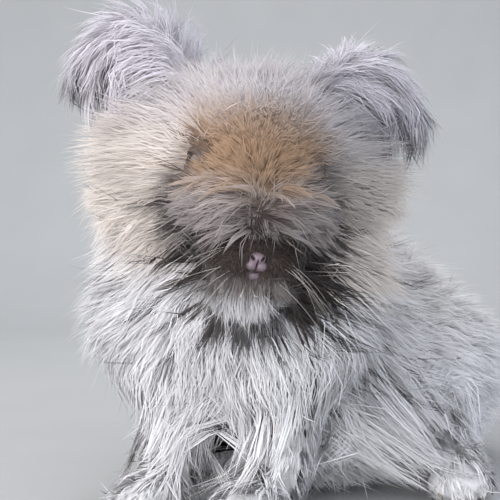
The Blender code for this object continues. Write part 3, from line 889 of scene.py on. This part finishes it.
def grow(coat, ground, tree, seed):
    """The coat's piece, on the skin where its labels and its rule allow."""
    rng = np.random.default_rng(seed)
    weights = np.isin(ground.labels, coat.labels).astype(float)
    if coat.where is not None:
        weights = weights * coat.where(ground.centres, ground.normals)
    roots, normals, uvs = ground.spread(weights, int(coat.tufts * FULLNESS), rng)
    centres, outs = guides(coat, tree, roots, normals, rng)
    path, ups, outward = strand_paths(coat, centres, outs, rng)
    labels = np.full(len(roots), coat.labels[0])
    colours = coat_colours(coat, roots, centres, labels, rng)
    mesh = strand_mesh(coat.name, coat, path, ups, outward, uvs, colours, rng)
    mesh.materials.append(hair_material())
    obj = placed(coat.name, mesh)
    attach(obj, BODY)


def numbers(*names):
    """The label numbers of these parts of the flesh."""
    return tuple(LABELS.index(n) for n in names)


def face_front(q):
    """1 on the front of the face, 0 on the cheeks and the crown, with a soft edge."""
    return smooth(*FACE_AHEAD, q[:, 1]) * (1 - around_eyes(q, EYE_BARE))


def around_eyes(q, reach):
    """1 near the eyeballs and their openings, and 0 from this far away in mm."""
    near = np.zeros(len(q))
    for side in SIDES.values():
        eye = np.array(eye_centre(side)) + 4 * np.array(eye_look(side))
        near = np.maximum(near, smooth(reach, reach * 0.7, np.linalg.norm(q - eye, axis=1)))
    return near


def off_the_nose(q):
    """0 on the nose and the mouth, 1 away from them."""
    nose = np.linalg.norm((q - np.array(NOSE_AT)) / np.array(NOSE_STRETCH), axis=1)
    return smooth(*NOSE_BARE, nose)


def short_in_the_hollow(p):
    q = in_head(p)
    trim = (1 - 0.45 * shaded_hollow(q)) * (1 - 0.5 * smooth(*SHORT_DOWN, q[:, 2]))
    return trim[:, None]


def velvet_place(p, n):
    """The front of the face, and most densely by the nose."""
    q = in_head(p)
    by_nose = smooth(*BY_NOSE, np.linalg.norm(q - np.array(NOSE_AT), axis=1))
    return face_front(q) * off_the_nose(q) * (1 + 1.5 * by_nose)


def cheek_place(p, n):
    q = in_head(p)
    return smooth(*CHEEK_BEHIND, q[:, 1]) * (1 - around_eyes(q, EYE_BARE))


def moustache_place(p, n):
    q = in_head(p)
    low, high = MOUSTACHE_FROM_TO
    inside = (q[:, 1] < MOUSTACHE_AHEAD) & (q[:, 2] < high) & (q[:, 2] > low)
    return inside * off_the_nose(q)


def beard_place(p, n):
    """The underside of the chin, where the skin doesn't face up."""
    q = in_head(p)
    under = (q[:, 1] < BEARD_AHEAD) & (q[:, 2] < BEARD_DOWN) & (n[:, 2] < BEARD_LEVEL)
    return under * off_the_nose(q)


def below_face(p, n):
    """Clear of the face, through which the hair of the neck and the chest would come out."""
    q = in_head(p)
    return np.maximum(smooth(*NECK_DOWN, q[:, 2]), smooth(*NECK_BEHIND, q[:, 1]))


def above_floor(p, n):
    return smooth(*OFF_FLOOR, p[:, 2] / MM)


def eye_centre(side):
    return Vector((side * EYE_SPACING / 2, EYE_BACK, EYE_UP))


def eye_look(side):
    return Vector((side * EYE_LOOK.x, EYE_LOOK.y, EYE_LOOK.z))


NOSE_AT, NOSE_STRETCH = (0.2, -53, -41), (1.0, 1.4, 1.5)
EYE_BARE, SOCKET = 10, 15
# Where each place begins and where it is full, in mm and mostly in the head's own frame.
FACE_AHEAD, CHEEK_BEHIND = (-4, -14), (-18, -6)
NOSE_BARE, BY_NOSE, SHORT_DOWN = (3.5, 5.5), (26, 14), (-44, -52)
MOUSTACHE_AHEAD, MOUSTACHE_FROM_TO = -26, (-23, -4)
BEARD_AHEAD, BEARD_DOWN, BEARD_LEVEL = -12, -46, 0.4
NECK_DOWN, NECK_BEHIND, OFF_FLOOR = (-58, -66), (30, 45), (1.5, 5)


# Materials.


class Look:
    """A material in the making: its nodes, their links and its Principled shader."""

    def __init__(self, name):
        self.material = bpy.data.materials.new(name)
        self.material.use_nodes = True
        self.nodes = self.material.node_tree.nodes
        self.link = self.material.node_tree.links.new
        self.shader = self.nodes["Principled BSDF"]

    def node(self, kind, **inputs):
        made = self.nodes.new(f"ShaderNode{kind}")
        put(made, **inputs)
        return made

    def attribute(self, name):
        made = self.node("Attribute")
        made.attribute_name = name
        return made.outputs["Color"]

    def noise(self, scale, detail=3.0):
        """Noise over the object's own coordinates."""
        texture = self.node("TexNoise", Scale=scale, Detail=detail)
        self.link(self.node("TexCoord").outputs["Object"], texture.inputs["Vector"])
        return texture.outputs["Fac"]

    def ramp(self, value, stops):
        """Colours run through by a value: each with the place where it stands."""
        ramp = self.node("ValToRGB")
        while len(ramp.color_ramp.elements) < len(stops):
            ramp.color_ramp.elements.new(1.0)
        for element, (position, colour) in zip(ramp.color_ramp.elements, stops):
            element.position = position
            element.color = (*colour, 1)
        self.link(value, ramp.inputs["Fac"])
        return ramp.outputs["Color"]

    def scaled(self, colour, value):
        multiply = self.node("VectorMath")
        multiply.operation = "SCALE"
        self.link(colour, multiply.inputs[0])
        self.link(value, multiply.inputs["Scale"])
        return multiply.outputs["Vector"]

    def marked(self, low, high, scale):
        """The markings, a little lighter and darker from place to place."""
        vary = self.node("MapRange", To_Min=low, To_Max=high)
        self.link(self.noise(scale), vary.inputs["Value"])
        return self.scaled(self.attribute("coat"), vary.outputs["Result"])

    def colour(self, colour):
        self.link(colour, self.shader.inputs["Base Color"])

    def bump(self, height, strength, distance):
        bump = self.node("Bump", Strength=strength, Distance=distance)
        self.link(height, bump.inputs["Height"])
        self.link(bump.outputs["Normal"], self.shader.inputs["Normal"])


def put(node, **inputs):
    """Sets inputs of a node by name, with an underscore for each space."""
    for name, value in inputs.items():
        node.inputs[name.replace("_", " ")].default_value = value


def mottled(name, low, high, scale, roughness, detail=3.0, bump=None):
    """A material of two tones mixed by noise, which may roughen the surface too."""
    look = Look(name)
    grain = look.noise(scale, detail)
    look.colour(look.ramp(grain, [(0, low), (1, high)]))
    if bump is not None:
        look.bump(grain, *bump)
    put(look.shader, Roughness=roughness)
    return look.material


@cache
def hair_material():
    """Hair in its markings, with fine streaks that run along each strand."""
    look = Look("coat_hair")
    stretch = look.node("Mapping", Scale=(3.2, 0.12, 1.0))
    look.link(look.attribute("strand"), stretch.inputs["Vector"])
    hairs = look.node("TexNoise", Scale=1.0, Detail=2.0)
    look.link(stretch.outputs["Vector"], hairs.inputs["Vector"])
    streak = look.node("MapRange", From_Min=0.3, From_Max=0.7, To_Min=0.9, To_Max=1.04)
    look.link(hairs.outputs["Fac"], streak.inputs["Value"])
    look.colour(look.scaled(look.marked(0.9, 1.1, 260), streak.outputs["Result"]))
    look.bump(hairs.outputs["Fac"], 0.5, 0.0003)
    put(look.shader, Roughness=0.62, Specular_IOR_Level=0.12)
    put(look.shader, Sheen_Weight=0.06, Sheen_Roughness=0.5)
    return look.material


def skin_material():
    look = Look("coat_skin")
    look.colour(look.marked(0.7, 1.0, 420))
    look.bump(look.noise(900, detail=5), 0.6, 0.0008)
    put(look.shader, Roughness=0.9)
    return look.material


def paint_skin(obj, ear_points):
    """Gives the skin the markings of the coat's roots."""
    points = rows_of(obj.data.vertices, "co", 3)
    labels = labels_at(points)
    labels[ear_points] = len(LABELS)
    root, _ = markings(points, labels)
    set_colours(obj.data, "coat", root)
    wear(obj, skin_material())


def wear(obj, material):
    """Gives the object this material alone."""
    obj.data.materials.clear()
    obj.data.materials.append(material)


# The coat's pieces.

LONG = dict(droop=0.45, sway=55, crimp=2.2, broad=2.6)
BIB = dict(
    stretch=1.35, width=0.36, gather=0.95, droop=0.6, sway=55, crimp=2.6, full=(0.92, 1.12),
    rise=0.7,
)
HEAD_LONG = dict(
    stretch=1.2, width=0.34, rise=0.75, droop=0.4, sway=58, crimp=2.4, stray=0.3, far_marked=True,
)
FOOT = dict(
    where=above_floor, stretch=1.9, shortest=10, width=0.42, spread=2.6, gather=0.9, sway=24,
    broad=2.5,
)
# The hair of the head's left side stands out further, beside the ear.
CHEEK_FULL = {"left": (0.95, 1.4), "right": (0.88, 1.18)}


def face_coats():
    """The short coat of the face, the tufts over and under the nose, and the cheeks."""
    face, ruff = numbers("face"), numbers("ruff")
    yield Coat(
        "coat_face", face, "coat_fawn", lie_head, 1500, 12, velvet_place, stretch=1.7, shortest=9,
        longest=24, width=0.36, stations=2, spread=2.4, gather=0.8, rise=0.8, droop=0.0,
        crimp=0.0, broad=1.6, full=(0.75, 1.2), sway=30, trim=short_in_the_hollow,
    )
    yield Coat(
        "coat_moustache", face, "coat_fawn", lie_moustache, 220, 13, moustache_place, lift=18,
        stretch=1.8, width=0.4, spread=2.8, droop=0.2, rise=0.8, gather=0.25, sway=58, broad=1.6,
        frost=0.15, full=(0.5, 1.25), stray=0.2,
    )
    yield Coat(
        "coat_beard", face, "coat_fawn", lie_beard, 320, 12, beard_place, lift=13, stretch=2.3,
        width=0.4, spread=2.6, droop=0.4, gather=0.5, far_marked=True,
    )
    for name, side in SIDES.items():
        yield Coat(
            f"coat_cheek_{name}", face + ruff, "coat_cream", lie_head, 1200, 10,
            side_of(cheek_place, side), full=CHEEK_FULL[name], **HEAD_LONG,
        )


def body_coats():
    """The bib, the trunk and the tail."""
    neck, chest = numbers("neck"), numbers("chest")
    yield Coat("coat_neck", neck, "coat_cream", hanging(6, 0.6), 300, 10, below_face, **BIB)
    yield Coat("coat_chest", chest, "coat_white", hanging(8, -0.1), 1150, 10, below_face, **BIB)
    for name, side in SIDES.items():
        yield Coat(
            f"coat_trunk_{name}", numbers("trunk"), "coat_cream", lie_body, 770, 10,
            side_of(above_floor, side), **LONG,
        )
    tail = numbers("tail")
    yield Coat("coat_tail", tail, "coat_white", hanging(12, 0.6, -0.9), 120, 10, **LONG)


def limb_coats():
    """The ears and the legs."""
    for number, (side, ear) in enumerate(EARS.items()):
        yield Coat(
            f"coat_ear_{side}", (len(LABELS) + number,), "coat_grey", lie_ear(ear), 430, 12,
            lift=13, stretch=2.8, spread=3.6, cling=0.0, droop=0.45, crimp=1.4, gather=1.2,
            sway=36, stray=0.25,
        )
    for side, (wrist, toes) in FORE_FEET.items():
        yield Coat(
            f"coat_foreleg_{side}", numbers(f"foreleg_{side}"), "coat_cream",
            lie_foot(wrist, toes), 250, 9, **FOOT,
        )
    for side, (heel, toes) in HIND_FEET.items():
        yield Coat(
            f"coat_thigh_{side}", numbers(f"thigh_{side}"), "coat_white", lie_body, 330, 10,
            above_floor, **LONG,
        )
        yield Coat(
            f"coat_foot_{side}", numbers(f"foot_{side}"), "coat_white", lie_foot(heel, toes),
            200, 9, **FOOT,
        )


def side_of(place, side):
    """The rule, on one side of the head's or the body's middle alone."""
    def where(p, n):
        x = in_head(p)[:, 0] if place is cheek_place else p[:, 0]
        return place(p, n) * (x * side >= 0)

    return where


# The face: the nose and lips, lids, eyes and whiskers.

NOSE_VOXEL, NOSE_ROUNDS = 0.5, 2
# Centres, and half widths, fronts, backs, ups and downs, in mm of the head's own frame.
NOSE_EGGS = [
    ((0.2, -53.4, -38), (4.2, 4.2, 8, 2.8, 3.4)),
    ((2.5, -51.8, -41.8), (3.3, 4.4, 8, 3, 3)),
    ((-2.3, -51.8, -41.8), (3.3, 4.4, 8, 3, 3)),
    ((0, -48.6, -47), (4, 4.6, 8, 2.6, 2.8)),
]
# The two nostrils with their turns, the split of the lip, and the mouth.
NOSE_CUTS = [
    ((2.5, -57.4, -38), (0.9, 4, 4, 1.8, 1.7), (0, 35, 0)),
    ((-2.5, -57.4, -38), (0.9, 4, 4, 1.8, 1.7), (0, -35, 0)),
    ((0, -56.4, -42.4), (0.5, 4, 4, 4.4, 3)),
    ((0, -53, -45.2), (7, 6, 5, 0.5, 0.5)),
]


def head_egg(centre, sizes, turn=(0, 0, 0)):
    return Egg(centre, sizes, turn=turn, frame=HEAD)


def nose():
    """The bare nose and lips, with the nostrils, the split lip and the mouth cut in."""
    bm = bmesh.new()
    for egg in NOSE_EGGS:
        head_egg(*egg).add_to(bm)
    obj = remeshed("nose", bm, NOSE_VOXEL, NOSE_ROUNDS)
    for egg in NOSE_CUTS:
        tool_mesh = bmesh.new()
        head_egg(*egg).add_to(tool_mesh, segments=24, rings=16)
        tool = new_object("cut", tool_mesh)
        modifier = obj.modifiers.new("cut", "BOOLEAN")
        modifier.operation = "DIFFERENCE"
        modifier.object = tool
        apply_modifiers(obj)
        bpy.data.objects.remove(tool)
    obj.data.shade_smooth()
    low, high = (0.13, 0.09, 0.105), (0.27, 0.20, 0.235)
    wear(obj, mottled("nose_skin", low, high, 700, 0.45, detail=4, bump=(0.35, 0.0004)))
    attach(obj, BODY)


def eye_axes(side):
    """An eye's centre in the model, and its directions ahead, across and up."""
    ahead = unit(from_head(eye_look(side)))
    centre = np.array(HEAD @ (eye_centre(side) * MM))
    across = unit(np.cross(ahead, HEAD_TURN[:, 2]))
    return centre, ahead, across, np.cross(across, ahead)


def ball_point(axes, radius, off, around):
    """The point of a ball at this angle off its look and this angle around it."""
    centre, ahead, across, up = axes
    away = across * math.cos(around) + up * math.sin(around)
    return centre + radius * MM * (ahead * math.cos(off) + away * math.sin(off))


def lathe(name, axes, radii, offs, turns=48):
    """A closed mesh of rings around a look: radii and angles off it, which may vary around it."""
    bm = bmesh.new()
    rings = []
    for radius, off in zip(radii, offs):
        ring = []
        for j in range(turns):
            around = 2 * math.pi * j / turns
            ring.append(bm.verts.new(ball_point(axes, radius, off(around), around)))
        rings.append(ring)
    bridge_round(bm, rings)
    for ring in (rings[0], rings[-1]):
        bm.faces.new(ring)
    bmesh.ops.recalc_face_normals(bm, faces=bm.faces)
    obj = new_object(name, bm)
    obj.data.shade_smooth()
    return obj


IRIS, PUPIL = math.radians(44), math.radians(24)
EYE_RINGS, EYE_FROM, EYE_TO = 60, 2, 176
CORNEA_RISE = 0.7
# How far each colour of the eye lies from its middle, as a share of the way round to its back.
EYE_STOPS = [
    (PUPIL / math.pi, (0.004, 0.003, 0.003)),
    (PUPIL / math.pi + 0.02, (0.05, 0.022, 0.012)),
    (IRIS / math.pi - 0.02, (0.10, 0.045, 0.022)),
    (IRIS / math.pi + 0.01, (0.02, 0.012, 0.01)),
    (IRIS / math.pi + 0.05, (0.09, 0.06, 0.05)),
]
LID_WIDE, LID_HIGH = math.radians(52), math.radians(25)
# The lids from their inner edge into the head: mm off the eyeball, and angle past the opening.
LID_STEPS = [
    (-0.4, 0.10), (0.3, 0.0), (1.0, 0.02), (1.5, 0.10), (1.5, 0.35), (1.2, 0.8), (-0.6, 1.1),
]


def eye(name, side):
    """An eyeball with a raised cornea, whose colour runs from pupil to iris to white."""
    axes = eye_axes(side)
    offs = [math.radians(a) for a in np.linspace(EYE_FROM, EYE_TO, EYE_RINGS)]
    radii = [EYE_RADIUS + CORNEA_RISE * float(smooth(IRIS, 0, off)) for off in offs]
    obj = lathe(f"{name}_ball", axes, radii, [lambda around, off=off: off for off in offs])
    colour = obj.data.color_attributes.new("gaze", "FLOAT_COLOR", "POINT")
    centre, ahead = axes[:2]
    for vertex, item in zip(obj.data.vertices, colour.data):
        off = math.acos(min(1.0, max(-1.0, float(unit(np.array(vertex.co) - centre) @ ahead))))
        item.color = (off / math.pi, off / math.pi, off / math.pi, 1)
    obj.data.materials.append(eye_material())
    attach(obj, BODY)
    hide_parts(name)


@cache
def eye_material():
    look = Look("eye_gloss")
    mix = look.node("Mix")
    mix.data_type = "RGBA"
    mix.blend_type = "MULTIPLY"
    put(mix, Factor=0.35)
    look.link(look.ramp(look.attribute("gaze"), EYE_STOPS), mix.inputs["A"])
    look.link(look.noise(1500, detail=4), mix.inputs["B"])
    look.colour(mix.outputs["Result"])
    put(look.shader, Roughness=0.12, Coat_Weight=0.3, Coat_Roughness=0.03)
    return look.material


def lids(name, side):
    """The two lids as one rolled rim around an almond opening, that run back into the head."""
    def opening(around):
        wide, high = math.cos(around), math.sin(around)
        return LID_WIDE * LID_HIGH / math.hypot(LID_HIGH * wide, LID_WIDE * high)

    obj = lathe(
        name,
        eye_axes(side),
        [EYE_RADIUS + out for out, _ in LID_STEPS],
        [lambda around, past=past: opening(around) + past for _, past in LID_STEPS],
    )
    low, high = (0.04, 0.03, 0.026), (0.10, 0.075, 0.065)
    obj.data.materials.append(mottled(f"{name}_skin", low, high, 600, 0.6, detail=4))
    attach(obj, BODY)


# Whiskers and claws, which are single tapered horns along a curve.


def horns(name, lines, radius, material):
    """Closed round horns through the points of each line, as one piece."""
    bm = bmesh.new()
    for line in lines:
        add_horn(bm, line, radius)
    bmesh.ops.recalc_face_normals(bm, faces=bm.faces)
    obj = new_object(name, bm)
    obj.data.shade_smooth()
    obj.data.materials.append(material)
    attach(obj, BODY)


def add_horn(bm, line, radius, sides=6):
    line = np.asarray(line)
    along = unit(np.gradient(line, axis=0))
    rings = []
    for k, (point, ahead) in enumerate(zip(line[:-1], along)):
        across = unit(np.cross(ahead, (0.3, 0.2, 0.93)))
        other = np.cross(across, ahead)
        size = radius * MM * (1 - (k / (len(line) - 1)) ** 1.5)
        ring = [
            bm.verts.new(point + size * (across * math.cos(t) + other * math.sin(t)))
            for t in np.linspace(0, 2 * math.pi, sides, endpoint=False)
        ]
        rings.append(ring)
    tip = bm.verts.new(line[-1])
    bm.faces.new(rings[0][::-1])
    bridge_round(bm, rings)
    for i in range(sides):
        bm.faces.new((rings[-1][i], rings[-1][(i + 1) % sides], tip))


def pale_material(name, colour, roughness):
    dark = [c * 0.75 for c in colour]
    return mottled(name, dark, colour, 500, roughness)


WHISKERS_A_SIDE, WHISKER_POINTS, WHISKER_RADIUS, WHISKER_SEED = 7, 9, 0.12, 71
# The corners of the place where they grow, the bounds of their run ahead and up, and their sag.
WHISKER_ROOTS, WHISKER_RUNS = ((7, -52, -44), (14, -44, -36)), ((-0.45, -0.8), (-0.15, 0.0))
WHISKER_SAG, WHISKER_SAGS, WHISKER_LENGTHS = (0, 6, -24), (0.5, 1.2), (32, 54)


def whiskers():
    """Pale bristles from the upper lip, that bend down under their own weight."""
    rng = np.random.default_rng(WHISKER_SEED)
    share = np.linspace(0, 1, WHISKER_POINTS)[:, None]
    lines = []
    for side in SIDES.values():
        for _ in range(WHISKERS_A_SIDE):
            aside, ahead, up = rng.uniform(*WHISKER_ROOTS)
            place = Vector((side * aside, ahead, up)) * MM
            near, normal, _, _ = FLESH_TREE.find_nearest(HEAD @ place)
            root = np.array(near - normal * MM)
            run = unit(np.array([side, *rng.uniform(*WHISKER_RUNS)]))
            sag = np.array(WHISKER_SAG) * rng.uniform(*WHISKER_SAGS)
            line = run * rng.uniform(*WHISKER_LENGTHS) * share + sag * share**2
            lines.append(root + from_head(line) * MM)
    pale = pale_material("whisker_hair", (0.55, 0.50, 0.45), 0.4)
    horns("whiskers", lines, WHISKER_RADIUS, pale)


CLAWS_A_FOOT, CLAW_POINTS, CLAW_RADIUS = 4, 7, 1.5
# Each claw runs ahead, rises and bends down, from this high in the toes and this far back in them.
CLAW_AHEAD, CLAW_RISE, CLAW_BEND, CLAW_HIGH, CLAW_BACK, CLAW_ROUND = 14, 3.0, 7.0, 6.0, 7, 5
FORE_CLAWS_WIDE, HIND_CLAWS_WIDE = 10, 12


def claws():
    lines = []
    up = np.array([0, 0, 1.0])
    share = np.linspace(0, 1, CLAW_POINTS)[:, None]
    for feet, half_width in ((FORE_FEET, FORE_CLAWS_WIDE), (HIND_FEET, HIND_CLAWS_WIDE)):
        for heel, toes in feet.values():
            ahead = unit(np.array([toes[0] - heel[0], toes[1] - heel[1], 0.0]))
            across = np.array([-ahead[1], ahead[0], 0.0])
            for beside in np.linspace(-1, 1, CLAWS_A_FOOT):
                start = np.array([*toes, CLAW_HIGH]) + across * beside * half_width
                start = start - ahead * (CLAW_BACK + CLAW_ROUND * beside**2)
                line = start + ahead * CLAW_AHEAD * share + up * CLAW_RISE * share
                lines.append((line - up * CLAW_BEND * share**2) * MM)
    horny = pale_material("claw_horn", (0.50, 0.42, 0.36), 0.35)
    horns("claws", lines, CLAW_RADIUS, horny)


# Scene.

FLOOR_SIZE, SWEEP_AT, SWEEP_RADIUS = 2.4, 0.9, 0.5


def add_floor():
    """A pale floor that sweeps up behind the rabbit."""
    bm = bmesh.new()
    turn = math.radians(CAMERA_AZIMUTH)
    back = Vector((-math.sin(turn), math.cos(turn), 0))
    side = Vector((math.cos(turn), math.sin(turn), 0))
    profile = [Vector((0, 0, 0)) - back * FLOOR_SIZE, back * SWEEP_AT]
    for angle in np.linspace(0, math.pi / 2, 16)[1:]:
        bend = back * math.sin(angle) + Vector((0, 0, 1 - math.cos(angle)))
        profile.append(back * SWEEP_AT + bend * SWEEP_RADIUS)
    profile.append(profile[-1] + Vector((0, 0, FLOOR_SIZE)))
    rows = [[bm.verts.new(p - side * FLOOR_SIZE) for p in profile]]
    rows.append([bm.verts.new(p + side * FLOOR_SIZE) for p in profile])
    bridge(bm, rows[0], rows[1])
    floor = new_object("floor", bm)
    floor.data.shade_smooth()
    paper = mottled("floor_paper", (0.42, 0.42, 0.42), (0.46, 0.46, 0.46), 12, 0.9)
    floor.data.materials.append(paper)


def aim(obj, azimuth, elevation, far):
    """Puts a light or the camera this far off on this side of ahead, looking at the face."""
    a, e = math.radians(azimuth), math.radians(elevation)
    away = Vector((math.sin(a) * math.cos(e), -math.cos(a) * math.cos(e), math.sin(e)))
    obj.location = CAMERA_TARGET + away * far
    obj.rotation_euler = (-away).to_track_quat("-Z", "Y").to_euler()


# Azimuth, elevation, distance, size, power and colour of each soft square light, and of the room.
LIGHTS = {
    "key": (-30, 34, 1.3, 1.0, 12, (1.0, 0.97, 0.94)),
    "front": (8, 3, 1.5, 0.8, 14, (0.97, 0.98, 1.0)),
    "fill": (85, 15, 1.5, 1.0, 4, (0.80, 0.90, 1.0)),
    "rim": (190, 50, 1.5, 0.9, 8, (1, 1, 1)),
}
ROOM_COLOUR, ROOM_LIGHT = (0.86, 0.92, 1.0, 1), 0.84


def add_lights():
    world = bpy.data.worlds.new("world")
    bpy.context.scene.world = world
    world.use_nodes = True
    put(world.node_tree.nodes["Background"], Color=ROOM_COLOUR, Strength=ROOM_LIGHT)
    for name, (azimuth, elevation, far, size, power, colour) in LIGHTS.items():
        light = bpy.data.lights.new(name, "AREA")
        light.energy, light.size, light.color = power, size, colour
        aim(placed(name, light), azimuth, elevation, far)


def add_camera():
    camera = placed("camera", bpy.data.cameras.new("camera"))
    camera.data.lens = CAMERA_LENS
    camera.data.sensor_width = CAMERA_SENSOR
    aim(camera, CAMERA_AZIMUTH, CAMERA_ELEVATION, CAMERA_FAR * MM)
    bpy.context.scene.camera = camera
    bpy.context.scene.view_settings.view_transform = "Standard"


SKIN, FLESH_TREE = make_skin()
tips = flesh_shell("tips", 1.0, TIPS_VOXEL, TIPS_ROUNDS)
TIPS = tree_of(tips)
bpy.data.objects.remove(tips)
GROUND = Ground(SKIN)
EAR_TREES = {len(LABELS) + number: ear_tree(ear) for number, ear in enumerate(EARS.values())}
paint_skin(SKIN, GROUND.ear_points)
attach(SKIN, BODY)
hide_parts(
    "head", "neck", "chest", "trunk", "tail", "ear_left", "ear_right",
    "foreleg_left", "foreleg_right", "hindleg_left", "hindleg_right",
)
for number, coat in enumerate([*face_coats(), *body_coats(), *limb_coats()]):
    tree = EAR_TREES[coat.labels[0]] if coat.labels[0] in EAR_TREES else FLESH_TREE
    grow(coat, GROUND, tree, number)
nose()
for side_name, side in SIDES.items():
    eye(f"eye_{side_name}", side)
    lids(f"lids_{side_name}", side)
whiskers()
claws()
add_floor()
add_lights()
add_camera()
